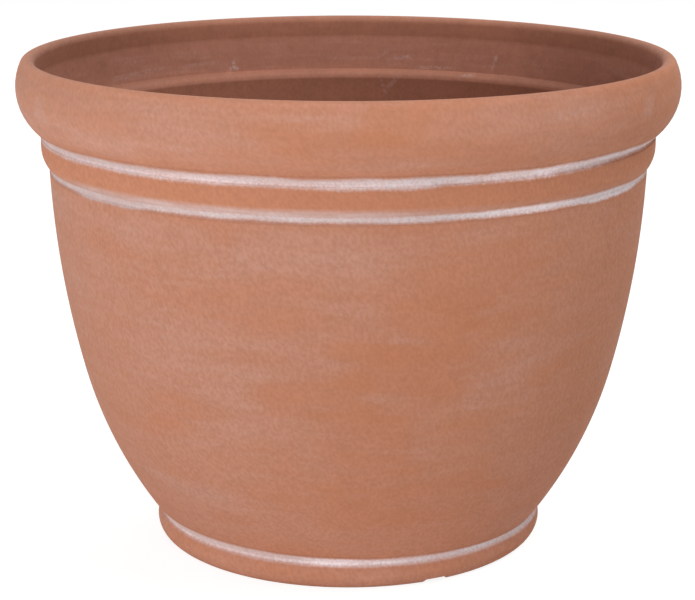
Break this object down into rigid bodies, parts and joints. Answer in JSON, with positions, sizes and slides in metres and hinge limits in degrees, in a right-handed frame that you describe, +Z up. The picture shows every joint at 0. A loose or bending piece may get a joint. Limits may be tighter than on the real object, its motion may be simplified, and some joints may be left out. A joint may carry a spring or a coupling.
{
  "type": "round planter",
  "caption": "Round footed planter with a rolled rim, a plain band between grooves, a deep bowl drawn in to a low foot ring, and plugged drain holes in its floor.",
  "frame": {"origin": "on the ground, in the middle of the foot ring", "axes": "+Z up along the pot's axis, -Y towards the front that the picture shows, +X to its right"},
  "size_m": [0.4064, 0.4064, 0.3048],
  "materials": {
    "terracotta_resin": "matte terracotta colour with a fine sandy grain and white wash in the grooves",
    "plug_rubber": "dull black moulded rubber"
  },
  "bodies": {
    "pot": {"pot_shell": "terracotta_resin"},
    "centre_plug": {"centre_drain_plug": "plug_rubber"},
    "front_plug": {"front_drain_plug": "plug_rubber"},
    "right_plug": {"right_drain_plug": "plug_rubber"},
    "back_plug": {"back_drain_plug": "plug_rubber"},
    "left_plug": {"left_drain_plug": "plug_rubber"}
  },
  "joints": [
    {"name": "centre_plug_lift", "type": "slide", "parent": "pot", "child": "centre_plug", "axis": [0, 0, 1], "range_m": [0, 0.32]},
    {"name": "front_plug_lift", "type": "slide", "parent": "pot", "child": "front_plug", "axis": [0, 0, 1], "range_m": [0, 0.32]},
    {"name": "right_plug_lift", "type": "slide", "parent": "pot", "child": "right_plug", "axis": [0, 0, 1], "range_m": [0, 0.32]},
    {"name": "back_plug_lift", "type": "slide", "parent": "pot", "child": "back_plug", "axis": [0, 0, 1], "range_m": [0, 0.32]},
    {"name": "left_plug_lift", "type": "slide", "parent": "pot", "child": "left_plug", "axis": [0, 0, 1], "range_m": [0, 0.32]}
  ]
}
